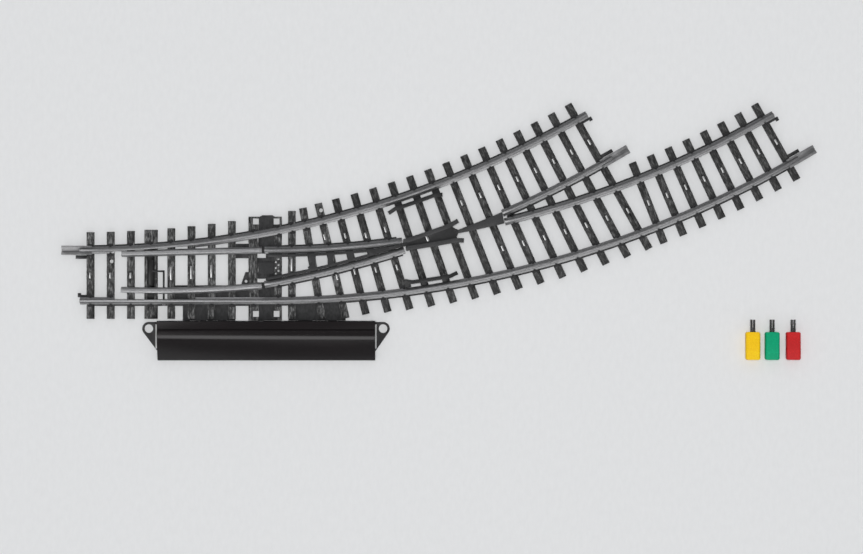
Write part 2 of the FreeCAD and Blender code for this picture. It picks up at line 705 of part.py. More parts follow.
piece(join(wire, "link_wire"), "link_wire")

LEVER_LOW = 0.2
LEVER_TOP = LEVER_LOW + SIZE["lever_thickness"]
lever = [
    rod(LEVER_X, LEVER_Y, LEVER_LOW, "lever_hub", "lever_thickness"),
    span(WIRE_X - 1.3, LEVER_X, LEVER_Y - 0.85, LEVER_Y + 0.85, LEVER_LOW, LEVER_TOP),
    span(LEVER_X - 1.0, LEVER_X + 1.0, PLUNGER_Y - 1.4, LEVER_Y, LEVER_LOW, LEVER_TOP),
]
lever_holes = [
    rod(LEVER_X, LEVER_Y, 0, 0.8, 2),
    block(WIRE_X, LEVER_Y, 0, SLOT + 0.5, SLOT, 2),
    block(LEVER_X, PLUNGER_Y, 0, SLOT, SLOT + 0.7, 2),
]
piece(cut(join(lever, "lever_solid"), lever_holes, "drive_lever"), "drive_lever")
pin = [
    rod(LEVER_X, LEVER_Y, 0.15, 0.7, 1.35),
    rod(LEVER_X, LEVER_Y, 0.02, 1.15, 0.13),
]
piece(join(pin, "lever_pin"), "lever_pin")

# Mechanism tray with two ears
BOX_X0 = SIZE["box_start"]
BOX_X1 = BOX_X0 + SIZE["box_length"]
BOX_NEAR = -15.7
BOX_FAR = -29.4
EAR_Y = -18.4
EAR_MIDDLE = BOX_X0 + SIZE["box_length"] / 2 - 0.2
tray = [span(BOX_X0 + 1.0, BOX_X1 - 1.0, BOX_FAR + 1.0, BOX_NEAR, 0, 1.2)]
for x0, x1 in ((41.6, 43.7), (47.6, 50.7), (75.5, 80.5), (86.0, 89.0)):
    tray.append(span(x0, x1, -17.5, -10.5, 0, 0.6))
ear_holes = []
for side in (-1, 1):
    ear_x = EAR_MIDDLE + side * SIZE["ear_spacing"] / 2
    box_end = BOX_X0 + 1.6 if side < 0 else BOX_X1 - 1.6
    tray.append(rod(ear_x, EAR_Y, 0, "ear_ring", "ear_thickness"))
    tray.append(prism([
        (ear_x, EAR_Y + 2.3), (box_end, EAR_Y + 2.3), (box_end, -26.2),
        (box_end + side * 1.7, -26.2), (ear_x + side * 2.05, EAR_Y - 1.1),
    ], 0, "ear_thickness"))
    ear_holes.append(rod(ear_x, EAR_Y, -0.1, "ear_hole", 2))
tray_cuts = ear_holes + [span(35.6, 41.5, -25.0, -14.0, -0.1, 2)]
for side in (-1, 1):
    gap = EAR_MIDDLE + side * (SIZE["box_length"] / 2 + 0.36)
    tray_cuts.append(span(gap - 0.3, gap + 0.3, -25.3, -16.9, -1, 3))
piece(cut(join(tray, "tray_solid"), tray_cuts, "mechanism_base"), "mechanism_base")

# Mechanism cover: stepped, rounded and sloping shell
SHOULDER_Y = -20.5
SHOULDER_TOP = 8.6
SHOULDER_RADIUS = 2.9
shoulder = []
for step in range(7):
    tilt = math.radians(6 * step)
    shoulder.append((
        SHOULDER_Y - SHOULDER_RADIUS * math.sin(tilt),
        SHOULDER_TOP - SHOULDER_RADIUS * (1 - math.cos(tilt)),
    ))
shell_points = [
    (BOX_NEAR, 1.2), (BOX_NEAR, 6.9), (-16.0, 7.3), (-18.6, 7.3), (-18.9, 8.3), (-19.3, 8.6),
] + shoulder + [
    (-28.9, 3.2), (BOX_FAR, 2.5), (BOX_FAR, 0.0),
    (BOX_FAR + 1.0, 0.0), (BOX_FAR + 1.0, 2.3), (-28.1, 2.8), (-21.9, 7.1), (-20.9, 7.5),
    (-19.8, 7.4), (-19.5, 6.3), (BOX_NEAR - 1.0, 6.3), (BOX_NEAR - 1.0, 1.2),
]
OUTER_COUNT = 6 + len(shoulder) + 3
end_points = shell_points[:OUTER_COUNT] + [(BOX_NEAR - 0.2, 0.0), (BOX_NEAR - 0.2, 1.2)]
shell = [straight_bar(shell_points, BOX_X0, BOX_X1)]
for x0 in (BOX_X0, BOX_X1 - 1.0):
    shell.append(straight_bar(end_points, x0, x0 + 1.0))
shell_cuts = []
for x0 in (BOX_X0 - 1, BOX_X1 - 1.7):
    shell_cuts.append(span(x0, x0 + 2.7, -26.3, -15.9, -0.1, 1.7))
shell_cuts.append(rod(BOX_X1 - 2, -28.0, 0.6, 0.9, 4, Vector(1, 0, 0)))
piece(cut(join(shell, "shell_solid"), shell_cuts, "mechanism_cover"), "mechanism_cover")

# Two coils, their iron, and the plunger
ALONG = Vector(1, 0, 0)
COILS = (48.0, 66.0)
COIL_LENGTH = SIZE["coil_length"]
TUBE_IN = SIZE["plunger_radius"] + 0.06
TUBE_OUT = TUBE_IN + SIZE["tube_wall"]
tube = rod(46.2, PLUNGER_Y, PLUNGER_Z, TUBE_OUT, 36.4, ALONG)
tube_hole = rod(46.0, PLUNGER_Y, PLUNGER_Z, TUBE_IN, 37, ALONG)
piece(cut(tube, [tube_hole], "guide_tube"), "guide_tube")
for start, side in zip(COILS, ("left", "right")):
    ends = []
    for x in (start, start + COIL_LENGTH - 0.8):
        ends.append(span(x, x + 0.8, PLUNGER_Y - 2.1, PLUNGER_Y + 2.1, 1.65, 5.75))
    ends.append(rod(start, PLUNGER_Y, PLUNGER_Z, TUBE_OUT + 0.15, COIL_LENGTH, ALONG))
    bobbin_hole = rod(start - 1, PLUNGER_Y, PLUNGER_Z, TUBE_OUT, COIL_LENGTH + 2, ALONG)
    bobbin = cut(join(ends, side + "_bobbin_solid"), [bobbin_hole], side + "_bobbin")
    piece(bobbin, side + "_bobbin")
    wound = rod(start + 0.8, PLUNGER_Y, PLUNGER_Z, "coil_radius", COIL_LENGTH - 1.6, ALONG)
    wound_hole = rod(start, PLUNGER_Y, PLUNGER_Z, TUBE_OUT + 0.15, COIL_LENGTH, ALONG)
    piece(cut(wound, [wound_hole], side + "_winding"), side + "_winding")
iron = [span(46.6, 81.6, PLUNGER_Y - 2.1, PLUNGER_Y + 2.1, 1.2, 1.65)]
for x in (46.6, 63.4, 80.4):
    iron.append(span(x, x + 1.2, PLUNGER_Y - 2.1, PLUNGER_Y + 2.1, 1.2, 5.7))
iron_hole = rod(46.0, PLUNGER_Y, PLUNGER_Z, TUBE_OUT, 37, ALONG)
piece(cut(join(iron, "iron_solid"), [iron_hole], "coil_yoke"), "coil_yoke")

PLUNGER_START = 50.0
plunger = rod(PLUNGER_START, PLUNGER_Y, PLUNGER_Z, "plunger_radius", "plunger_length", ALONG)
piece(plunger, "plunger")
YOKE_END = LEVER_X + 2.0
plunger_rod = rod(YOKE_END, PLUNGER_Y, PLUNGER_Z, 0.6, PLUNGER_START - YOKE_END, ALONG)
piece(plunger_rod, "plunger_rod")
yoke = [
    span(LEVER_X - 1.2, YOKE_END, PLUNGER_Y - 1.3, PLUNGER_Y + 1.3, 1.3, 5.2),
    rod(LEVER_X, PLUNGER_Y, 0.3, "peg_radius", 1.3),
]
piece(join(yoke, "drive_yoke"), "drive_yoke")
piece(span(84.0, 100.0, -27.6, -18.0, 1.2, 1.9), "circuit_board")
pins = [rod(x, -26.0, 1.9, 0.5, 1.5) for x in (87.0, 90.5, 94.0)]
piece(group(pins, "terminal_pins"), "terminal_pins")
switches = [span(x, x + 5.0, -23.6, -19.0, 1.9, 5.5) for x in (85.5, 93.0)]
piece(group(switches, "end_switches"), "end_switches")

# Wire plugs
PLUGS = (("yellow", 233.1), ("green", 239.8), ("red", 247.1))
PLUG_Y = -24.4
PLUG_Z = SIZE["plug_height"] / 2
prongs = []
for colour, x in PLUGS:
    body = block(x, PLUG_Y, 0, "plug_width", "plug_length", "plug_height")
    rounded = doc.addObject("Part::Fillet", colour + "_plug")
    rounded.Base = body
    doc.recompute()
    long_edges = []
    for index, edge in enumerate(body.Shape.Edges, start=1):
        way = edge.tangentAt(edge.FirstParameter)
        if abs(way.y) > 0.9 or abs(way.z) > 0.9:
            long_edges.append((index, 0.7, 0.7))
    rounded.Edges = long_edges
    doc.recompute()
    bore = rod(x, PLUG_Y + 2.8, PLUG_Z, "plug_pin", 3, Vector(0, 1, 0))
    lead = rod(x, PLUG_Y - 3.8, PLUG_Z, 0.8, 3, Vector(0, -1, 0))
    screw_hole = rod(x, PLUG_Y + 0.6, -0.1, 0.8, 1.5)
    piece(cut(rounded, [bore, lead, screw_hole], colour + "_plug_body"), colour + "_plug_body")
    prong = rod(x, PLUG_Y + 2.8, PLUG_Z, "plug_pin", 2.0 + SIZE["plug_pin_length"], Vector(0, 1, 0))
    split = span(x - 0.15, x + 0.15, PLUG_Y + 6.2, PLUG_Y + 10, 0.5, 4.2)
    prongs.append(cut(prong, [split], colour + "_prong"))
piece(group(prongs, "plug_prongs"), "plug_prongs")
plug_screws = []
for colour, x in PLUGS:
    head = rod(x, PLUG_Y + 0.6, 0.4, 0.8, 1.0)
    slot = span(x - 0.9, x + 0.9, PLUG_Y + 0.45, PLUG_Y + 0.75, 0.3, 0.7)
    plug_screws.append(cut(head, [slot], colour + "_screw"))
piece(group(plug_screws, "plug_screws"), "plug_screws")

doc.recompute()
for thing in doc.Objects:
    if "Invalid" in thing.State or "Error" in thing.State:
        raise RuntimeError("object in error: " + thing.Label)
os.makedirs("parts", exist_ok=True)
for thing in PIECES:
    shape = thing.Shape
    if shape.isNull() or not shape.isValid() or not shape.Solids:
        raise RuntimeError("bad shape: " + thing.Label)
    shape.exportStep("parts/" + thing.Label + ".step")
    print(thing.Label, len(shape.Solids), round(shape.Volume, 2))
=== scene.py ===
"""Looks of the curved left-hand model turnout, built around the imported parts."""
import math

import bpy
import bmesh
from mathutils import Matrix, Vector


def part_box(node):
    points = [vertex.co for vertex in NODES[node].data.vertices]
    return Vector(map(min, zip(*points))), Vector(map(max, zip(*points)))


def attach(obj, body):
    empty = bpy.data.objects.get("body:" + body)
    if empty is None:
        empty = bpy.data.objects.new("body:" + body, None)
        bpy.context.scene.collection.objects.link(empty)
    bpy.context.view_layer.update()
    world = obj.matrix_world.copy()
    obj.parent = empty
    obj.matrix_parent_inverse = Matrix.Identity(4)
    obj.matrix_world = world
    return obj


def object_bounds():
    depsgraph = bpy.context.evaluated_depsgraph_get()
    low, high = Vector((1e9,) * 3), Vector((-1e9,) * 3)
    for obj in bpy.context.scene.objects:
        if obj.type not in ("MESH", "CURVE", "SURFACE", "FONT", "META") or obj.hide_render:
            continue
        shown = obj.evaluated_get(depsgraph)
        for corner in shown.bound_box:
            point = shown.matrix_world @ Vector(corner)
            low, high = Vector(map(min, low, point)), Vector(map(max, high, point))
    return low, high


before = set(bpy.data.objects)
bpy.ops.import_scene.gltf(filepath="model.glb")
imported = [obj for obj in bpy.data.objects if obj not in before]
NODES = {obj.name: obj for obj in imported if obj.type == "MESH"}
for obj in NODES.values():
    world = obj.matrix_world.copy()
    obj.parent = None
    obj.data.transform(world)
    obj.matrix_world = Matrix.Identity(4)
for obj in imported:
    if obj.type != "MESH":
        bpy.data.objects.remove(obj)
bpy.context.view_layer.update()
BASE = "turnout_base"
MM = 0.001

# Track geometry in metres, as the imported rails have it
RADIUS = 0.360                  # centre line of both curves
SHIFT = 0.0646                  # where the second curve starts along X
RAIL = 0.00875                  # middle of a rail from the middle of the track
HALF_FOOT = 1.25 * MM
TIE_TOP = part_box("entry_ties")[1].z
RAIL_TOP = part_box("left_stock_rail")[1].z
HALF_TIE = 0.015
TIE_PITCH = 0.007
STRAIGHT_TIES = [0.0036 + TIE_PITCH * k for k in range(8)]
FAN_TIES = [0.0934 + TIE_PITCH * k for k in range(14)]
OUTER_TIES = [0.2001 + TIE_PITCH * k for k in range(8)]
HEEL_TIES = (0.0602, 0.0687)
HEEL_TIE_ENDS = (0.0204, -0.0156)
# The three ties that turn from the heel to the fan: inner and outer end, in millimetres
TURNING_TIES = (((73.4, 22.4), (73.4, -15.0)), ((77.2, 23.4), (83.9, -14.9)),
                ((82.5, 25.0), (92.1, -14.8)))


def grey(level):
    return (level, level, level)


def scaled(tone, factor):
    return tuple(min(1, c * factor) for c in tone)


# ---------------------------------------------------------------- materials
class Maker:
    """Small helper that adds and joins shader nodes."""

    def __init__(self, name):
        self.material = bpy.data.materials.new(name)
        self.material.use_nodes = True
        self.tree = self.material.node_tree
        self.shader = self.tree.nodes["Principled BSDF"]

    def add(self, kind, **values):
        node = self.tree.nodes.new(kind)
        for key, value in values.items():
            setattr(node, key, value)
        return node

    def link(self, start, end):
        self.tree.links.new(start, end)

    def math(self, operation, first, second=None, clamp=False):
        node = self.add("ShaderNodeMath", operation=operation, use_clamp=clamp)
        for socket, value in zip(node.inputs, (first, second)):
            if value is None:
                continue
            if isinstance(value, (int, float)):
                socket.default_value = value
            else:
                self.link(value, socket)
        return node.outputs[0]

    def noise(self, vector, scale, detail=4.0, rough=0.5):
        node = self.add("ShaderNodeTexNoise")
        node.inputs["Scale"].default_value = scale
        node.inputs["Detail"].default_value = detail
        node.inputs["Roughness"].default_value = rough
        self.link(vector, node.inputs["Vector"])
        return node.outputs["Fac"]

    def ramp(self, factor, stops):
        node = self.add("ShaderNodeValToRGB")
        ramp = node.color_ramp
        while len(ramp.elements) < len(stops):
            ramp.elements.new(0.5)
        for element, (place, colour) in zip(ramp.elements, stops):
            element.position = place
            element.color = (*colour, 1.0)
        self.link(factor, node.inputs["Fac"])
        return node.outputs["Color"]

    def streaks(self, vector, scale, detail, rough):
        """Noise with its own scale along each axis."""
        node = self.add("ShaderNodeMapping")
        node.inputs["Scale"].default_value = scale
        self.link(vector, node.inputs["Vector"])
        return self.noise(node.outputs["Vector"], 1.0, detail, rough)

    def weighed(self, first, second, share=0.6):
        """Sum of two values, the first with the given share."""
        return self.math("ADD", self.math("MULTIPLY", first, share),
                         self.math("MULTIPLY", second, 1 - share))

    def geometry(self, output):
        return self.add("ShaderNodeNewGeometry").outputs[output]

    def object_place(self):
        return self.add("ShaderNodeTexCoord").outputs["Object"]

    def track_place(self, shift):
        """Coordinates along the track, across it, and up, in metres."""
        parts = self.add("ShaderNodeSeparateXYZ")
        self.link(self.object_place(), parts.inputs[0])
        x = self.math("SUBTRACT", parts.outputs[0], shift)
        y = self.math("SUBTRACT", RADIUS, parts.outputs[1])
        bent = self.math("MAXIMUM", x, 0.0)
        turn = self.math("MULTIPLY", self.math("ARCTAN2", bent, y), RADIUS)
        squares = (self.math("MULTIPLY", bent, bent), self.math("MULTIPLY", y, y))
        joined = self.add("ShaderNodeCombineXYZ")
        self.link(self.math("ADD", turn, self.math("MINIMUM", x, 0.0)), joined.inputs[0])
        self.link(self.math("SQRT", self.math("ADD", *squares)), joined.inputs[1])
        self.link(parts.outputs[2], joined.inputs[2])
        return joined.outputs[0]

    def bump(self, height, strength, distance):
        node = self.add("ShaderNodeBump")
        node.inputs["Strength"].default_value = strength
        node.inputs["Distance"].default_value = distance
        self.link(height, node.inputs["Height"])
        self.link(node.outputs["Normal"], self.shader.inputs["Normal"])

    def colour(self, output):
        self.link(output, self.shader.inputs["Base Color"])

    def roughness(self, factor, low, high):
        node = self.add("ShaderNodeMapRange")
        node.inputs["To Min"].default_value = low
        node.inputs["To Max"].default_value = high
        self.link(factor, node.inputs["Value"])
        self.link(node.outputs["Result"], self.shader.inputs["Roughness"])

    def mix(self, factor, first, second, kind="MIX"):
        node = self.add("ShaderNodeMix", data_type="RGBA", blend_type=kind)
        sockets = [s for s in node.inputs if s.enabled]
        for socket, value in zip(sockets, (factor, first, second)):
            if isinstance(value, (int, float)):
                socket.default_value = value
            elif isinstance(value, tuple):
                socket.default_value = (*value, 1.0)
            else:
                self.link(value, socket)
        return [s for s in node.outputs if s.enabled][0]

    def rising(self, vector, low, high):
        """0 to 1 as the third part of a vector goes from low to high."""
        parts = self.add("ShaderNodeSeparateXYZ")
        self.link(vector, parts.inputs[0])
        node = self.add("ShaderNodeMapRange")
        node.inputs["From Min"].default_value = low
        node.inputs["From Max"].default_value = high
        self.link(parts.outputs[2], node.inputs["Value"])
        return node.outputs["Result"]

    def above(self, low, high):
        """0 below one height, 1 above the other."""
        return self.rising(self.object_place(), low, high)

    def facing_up(self, low, high):
        """0 on steep faces, 1 on faces that look up."""
        return self.rising(self.geometry("Normal"), low, high)


# Painted shade on the ties: darker tones for the moulding below the top face, and a near-black
# tone for the side walls
SUNKEN_SHADE_DARK = (0.016, 0.016, 0.0165)
SUNKEN_SHADE_LIGHT = (0.030, 0.030, 0.031)
TIE_SIDE_SHADE = (0.002, 0.002, 0.002)
# Painted light across a rail, from the middle of its head out to the edge of its foot: a
# painted highlight on the head, painted shade in a line beside it and a little at the foot's
# edge
RAIL_SHADE_BANDS = ((0.0, 1.25), (0.28, 1.0), (0.42, 0.7), (0.56, 1.0), (0.9, 1.1), (1.0, 0.8))


def wood_plastic(name, shift, level):
    """Sleeper plastic with moulded wood grain that runs along each tie; painted shade below its
    top face and on its side walls.
    """
    m = Maker(name)
    place = m.track_place(shift)
    grain = m.streaks(place, (2300, 330, 900), 6.0, 0.65)
    fine = m.streaks(place, (6000, 700, 3000), 3.0, 0.6)
    blotch = m.streaks(place, (1100, 520, 700), 4.0, 0.6)
    both = m.weighed(grain, fine)
    dark, bright = level * 0.14, level * 2.8
    tone = m.ramp(both, [(0.42, grey(dark)), (0.5, grey(level)), (0.58, grey(bright))])
    patches = [(0.4, grey(0.35)), (0.5, grey(1)), (0.6, grey(1.9))]
    worn = m.mix(1.0, tone, m.ramp(blotch, patches), "MULTIPLY")
    # Painted shade: tones darker than the top, varied by blotches, below the tie's top face
    low = m.ramp(blotch, [(0.4, SUNKEN_SHADE_DARK), (0.6, SUNKEN_SHADE_LIGHT)])
    top = m.mix(m.above(TIE_TOP - 0.2 * MM, TIE_TOP - 0.05 * MM), low, worn)
    # Painted shade: the near-black tone on steep side walls
    m.colour(m.mix(m.facing_up(0.8, 0.995), TIE_SIDE_SHADE, top))
    m.roughness(both, 0.5, 0.8)
    m.shader.inputs["Specular IOR Level"].default_value = 0.36
    m.bump(both, 0.6, 0.00018)
    return m.material


def rail_metal(name, shift, tone=(0.19, 0.19, 0.193), band_shaded=True):
    """Drawn rail: brushed lines, a painted highlight on the head, painted shade in a line
    beside it, and a painted highlight on steep flanks.
    """
    m = Maker(name)
    place = m.track_place(shift)
    lines = m.streaks(place, (60, 9000, 9000), 4.0, 0.6)
    specks = m.streaks(place, (1500, 5000, 5000), 3.0, 0.6)
    both = m.weighed(lines, specks)
    stops = [(0.35, scaled(tone, 0.55)), (0.5, tone), (0.65, scaled(tone, 1.6))]
    base = m.ramp(both, stops)
    if band_shaded:
        parts = m.add("ShaderNodeSeparateXYZ")
        m.link(place, parts.inputs[0])
        aside = m.math("ABSOLUTE", m.math("SUBTRACT", parts.outputs[1], RADIUS))
        aside = m.math("ABSOLUTE", m.math("SUBTRACT", aside, RAIL))
        share = m.math("DIVIDE", aside, HALF_FOOT, clamp=True)
        # Painted highlight on the head and painted shade beside it, by distance from the rail's
        # middle
        band_shading = m.ramp(share, [(stop, grey(level)) for stop, level in RAIL_SHADE_BANDS])
        base = m.mix(1.0, base, band_shading, "MULTIPLY")
    # Painted highlight: steep flanks get a colour up to 3.2 times lighter than the tone
    flank_highlight = m.ramp(both, [(0.35, tone), (0.65, scaled(tone, 3.2))])
    m.colour(m.mix(m.facing_up(0.15, 0.5), flank_highlight, base))
    m.roughness(both, 0.26, 0.5)
    m.shader.inputs["Metallic"].default_value = 0.85
    m.bump(both, 0.25, 0.00006)
    return m.material


def plain_metal(name, tone, rough=(0.22, 0.45), speck=900, metallic=0.95, bump=0.25):
    """Small pressed or turned metal: fine scratches across X and dull patches."""
    m = Maker(name)
    place = m.object_place()
    scratch = m.streaks(place, (speck * 6, speck, speck * 3), 5.0, 0.6)
    patch = m.noise(place, speck * 0.3, 4.0, 0.55)
    both = m.math("MULTIPLY", m.math("ADD", scratch, patch), 0.5)
    stops = [(0.32, scaled(tone, 0.6)), (0.5, tone), (0.7, scaled(tone, 1.3))]
    m.colour(m.ramp(both, stops))
    m.roughness(both, *rough)
    m.shader.inputs["Metallic"].default_value = metallic
    m.bump(scratch, bump, 0.00004)
    return m.material


def moulded(name, tone, rough=(0.3, 0.5), grain=1800, bump=0.22, gloss=0.35, edge=0.55,
            highlight_height=None):
    """Moulded plastic: fine pebble and flow marks; a painted highlight makes it lighter above a
    given height, so raised tops stand out.
    """
    m = Maker(name)
    place = m.object_place()
    pebble = m.noise(place, grain, 3.0, 0.55)
    flow = m.streaks(place, (60, 240, 240), 4.0, 0.6)
    spots = m.add("ShaderNodeTexVoronoi", feature="F1")
    spots.inputs["Scale"].default_value = grain * 0.35
    m.link(place, spots.inputs["Vector"])
    both = m.weighed(pebble, flow)
    stops = [(0.3, scaled(tone, edge)), (0.5, tone), (0.72, scaled(tone, 1.35))]
    base = m.ramp(both, stops)
    if highlight_height:
        # Painted highlight: 2.4 times lighter above the given height
        top_highlight = m.mix(m.above(highlight_height - 0.3 * MM, highlight_height), grey(1), grey(2.4))
        base = m.mix(1.0, base, top_highlight, "MULTIPLY")
    m.colour(base)
    m.roughness(both, *rough)
    m.shader.inputs["Specular IOR Level"].default_value = gloss
    pits = m.math("MULTIPLY", spots.outputs["Distance"], 0.3)
    m.bump(m.math("ADD", pebble, pits), bump, 0.00005)
    return m.material


def wound_copper(name):
    """Enamelled wire wound round X: one line of painted shade per turn, where the turns meet.
    """
    m = Maker(name)
    place = m.object_place()
    wave = m.add("ShaderNodeTexWave", wave_type="BANDS", bands_direction="X")
    wave.inputs["Scale"].default_value = 1000
    wave.inputs["Distortion"].default_value = 0.4
    m.link(place, wave.inputs["Vector"])
    patch = m.noise(place, 500, 4.0, 0.5)
    # Painted shade: the dark end of this ramp lies in the crease between turns
    base = m.ramp(wave.outputs["Fac"], [(0.1, (0.12, 0.03, 0.008)), (0.6, (0.55, 0.2, 0.06))])
    m.colour(m.mix(m.math("MULTIPLY", patch, 0.5), base, (0.35, 0.10, 0.03)))
    m.roughness(patch, 0.2, 0.4)
    m.shader.inputs["Metallic"].default_value = 0.8
    m.bump(wave.outputs["Fac"], 0.6, 0.0001)
    return m.material


def floor_paper():
    """Matt pale paper."""
    m = Maker("floor_paper")
    place = m.geometry("Position")
    fibre = m.streaks(place, (700, 300, 300), 5.0, 0.6)
    wide = m.noise(place, 6, 2.0, 0.5)
    low, high = (0.78, 0.785, 0.79), (0.81, 0.815, 0.82)
    base = m.ramp(fibre, [(0.3, low), (0.7, high)])
    m.colour(m.mix(m.math("MULTIPLY", wide, 0.08), base, (0.80, 0.805, 0.81)))
    m.roughness(fibre, 0.85, 0.95)
    m.shader.inputs["Specular IOR Level"].default_value = 0.1
    return m.material


RAIL_INNER = rail_metal("rail_metal_inner", 0.0)
RAIL_OUTER = rail_metal("rail_metal_outer", SHIFT)
TONGUE = rail_metal("tongue_metal", SHIFT, (0.32, 0.32, 0.325), band_shaded=False)
SHEET = plain_metal("joiner_sheet", (0.22, 0.22, 0.223), (0.4, 0.6), 1400)
STUD = plain_metal("stud_steel", (0.42, 0.42, 0.42), (0.2, 0.45), 4000)
FROG = moulded("frog_plastic", (0.012, 0.012, 0.0125), (0.42, 0.62), 2200, 0.3, highlight_height=RAIL_TOP)
GUIDE = moulded("guide_plastic", (0.02, 0.02, 0.021), (0.42, 0.62), 2200, 0.3)
GUARD = moulded("guard_plastic", (0.010, 0.010, 0.0105), (0.4, 0.6), 2200, 0.3)
HOUSING = moulded("housing_plastic", (0.0058, 0.0036, 0.0041), (0.2, 0.3), 1500, 0.08)
TRAY = moulded("tray_plastic", (0.022, 0.021, 0.022), (0.35, 0.55), 1800, 0.2)
BAR = moulded("bar_plastic", (0.010, 0.010, 0.010), (0.3, 0.5), 2000, 0.25)
CHAIR = moulded("chair_plastic", (0.016, 0.016, 0.017), (0.45, 0.7), 3000, 0.3)
DARK_SHEET = plain_metal("dark_sheet", (0.03, 0.03, 0.031), (0.35, 0.55), 1500, 0.6)
STEEL = plain_metal("turned_steel", (0.5, 0.5, 0.5), (0.2, 0.4), 2000)
PRONG = plain_metal("prong_steel", (0.13, 0.13, 0.13), (0.15, 0.35), 2600)
BRASS = plain_metal("brass_metal", (0.62, 0.43, 0.16), (0.2, 0.42), 1800)
IRON = plain_metal("soft_iron", (0.3, 0.3, 0.31), (0.35, 0.6), 1200)
NYLON = moulded("nylon_natural", (0.62, 0.59, 0.5), (0.4, 0.6), 1500, 0.2, 0.35, 0.8)
BOARD = moulded("board_green", (0.02, 0.13, 0.05), (0.25, 0.4), 3000, 0.2, 0.3, 0.7)
SWITCH = moulded("switch_plastic", (0.03, 0.03, 0.033), (0.35, 0.5), 2400, 0.2)
YELLOW = moulded("plug_yellow", (0.96, 0.58, 0.008), (0.45, 0.6), 2200, 0.2, 0.12, 0.88)
GREEN = moulded("plug_green", (0.001, 0.35, 0.165), (0.45, 0.6), 2200, 0.2, 0.12, 0.85)
RED = moulded("plug_red", (0.54, 0.018, 0.020), (0.45, 0.6), 2200, 0.2, 0.12, 0.85)
COPPER = wound_copper("copper_winding")
LOOKS = {
    "entry_ties": wood_plastic("tie_plastic_entry", SHIFT, 0.046),
    "fan_ties": wood_plastic("tie_plastic_fan", 0.0, 0.0215),
    "outer_ties": wood_plastic("tie_plastic_outer", SHIFT, 0.0225),
    "left_stock_rail": RAIL_INNER, "right_stock_rail": RAIL_OUTER,
    "left_closure_rail": RAIL_OUTER, "right_closure_rail": RAIL_INNER,
    "inner_exit_rail": RAIL_INNER, "outer_exit_rail": RAIL_OUTER,
    "left_tongue": TONGUE, "right_tongue": TONGUE,
    "rail_joiner_entry": SHEET, "rail_joiner_inner": SHEET, "rail_joiner_outer": SHEET,
    "frog_insert": FROG, "guide_frame": GUIDE, "frog_stud": STUD, "heel_contacts": STUD,
    "left_check_rail": GUARD, "right_check_rail": GUARD,
    "entry_studs": STUD, "inner_studs": STUD, "outer_studs": STUD,
    "contact_tab_entry": DARK_SHEET, "contact_tab_inner": DARK_SHEET,
    "contact_tab_outer": DARK_SHEET, "heel_cover": DARK_SHEET,
    "link_wire": DARK_SHEET, "throwbar": BAR, "drive_lever": SWITCH, "drive_yoke": SWITCH,
    "lever_pin": STEEL, "plunger_rod": STEEL, "plunger": IRON, "coil_yoke": IRON,
    "guide_tube": BRASS, "terminal_pins": BRASS, "left_bobbin": NYLON, "right_bobbin": NYLON,
    "left_winding": COPPER, "right_winding": COPPER, "circuit_board": BOARD,
    "end_switches": SWITCH, "mechanism_base": TRAY, "mechanism_cover": HOUSING,
    "yellow_plug_body": YELLOW, "green_plug_body": GREEN, "red_plug_body": RED,
    "plug_prongs": PRONG, "plug_screws": STEEL,
}
# Widths of the rounded edges in millimetres; every other node has PLAIN_EDGE
PLAIN_EDGE = 0.04
EDGES = {
    "entry_ties": 0.4, "fan_ties": 0.4, "outer_ties": 0.4, "frog_insert": 0.15,
    "guide_frame": 0.15, "left_check_rail": 0.15, "right_check_rail": 0.15,
    "mechanism_cover": 0.35, "mechanism_base": 0.12, "throwbar": 0.1,
    "yellow_plug_body": 0.15, "green_plug_body": 0.15, "red_plug_body": 0.15,
    "heel_cover": 0.08, "entry_studs": 0.08, "inner_studs": 0.08, "outer_studs": 0.08,
}


def rounded(obj, width):
    """Adds a bevel of the given width in metres."""
    edge = obj.modifiers.new("edge", "BEVEL")
    edge.width = width
    edge.segments = 2
    return edge


def finish_mesh(obj, material, width):
    """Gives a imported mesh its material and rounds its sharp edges."""
    obj.data.materials.clear()
    obj.data.materials.append(material)
    weld = obj.modifiers.new("weld", "WELD")
    weld.merge_threshold = 1e-6
    edge = rounded(obj, width * MM)
    edge.limit_method = "ANGLE"
    edge.angle_limit = math.radians(35)
    edge.harden_normals = True
    obj.data.polygons.foreach_set("use_smooth", [True] * len(obj.data.polygons))


for name, node in NODES.items():
    finish_mesh(node, LOOKS[name], EDGES.get(name, PLAIN_EDGE))


# ---------------------------------------------------------------- rail fastenings
def new_piece(name, mesh, material, body=BASE):
    obj = bpy.data.objects.new(name, mesh)
    bpy.context.scene.collection.objects.link(obj)
    mesh.materials.append(material)
    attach(obj, body)
    return obj


def block_into(bm, centre, size, heading, taper=0.0):
    """Adds a block turned in plan, its top narrower by the share "taper"."""
    x, y, z = (v / 2 for v in size)
    turn = Matrix.Rotation(heading, 4, "Z")
    verts = []
    for dz, pull in ((-z, 0.0), (z, taper)):
        for dx, dy in ((-x, -y), (x, -y), (x, y), (-x, y)):
            flat = Vector((dx * (1 - pull), dy * (1 - pull), dz))
            verts.append(bm.verts.new(Vector(centre) + turn @ flat))
    low, high = verts[:4], verts[4:]
    bm.faces.new(low[::-1])
    bm.faces.new(high)
    for i in range(4):
        bm.faces.new((low[i], low[(i + 1) % 4], high[(i + 1) % 4], high[i]))


def curve_point(turn, reach, shift=0.0):
    """Plan point at an angle and a distance from the centre of a curve."""
    return Vector((shift + reach * math.sin(turn), RADIUS - reach * math.cos(turn), 0))


def crossing(start, end, reach, shift):
    """Plan point where a tie meets a rail, and the rail's heading there in radians."""
    way = (end - start).normalized()
    if shift:
        point = start + way * ((RADIUS - reach - start.y) / way.y)
        if point.x <= shift:
            return point, 0.0
    gap = start - Vector((shift, RADIUS, 0))
    b = gap.dot(way)
    c = gap.length_squared - reach * reach
    root = math.sqrt(max(b * b - c, 0))
    point = start + way * (-b + root)
    return point, math.atan2(point.x - shift, RADIUS - point.y)


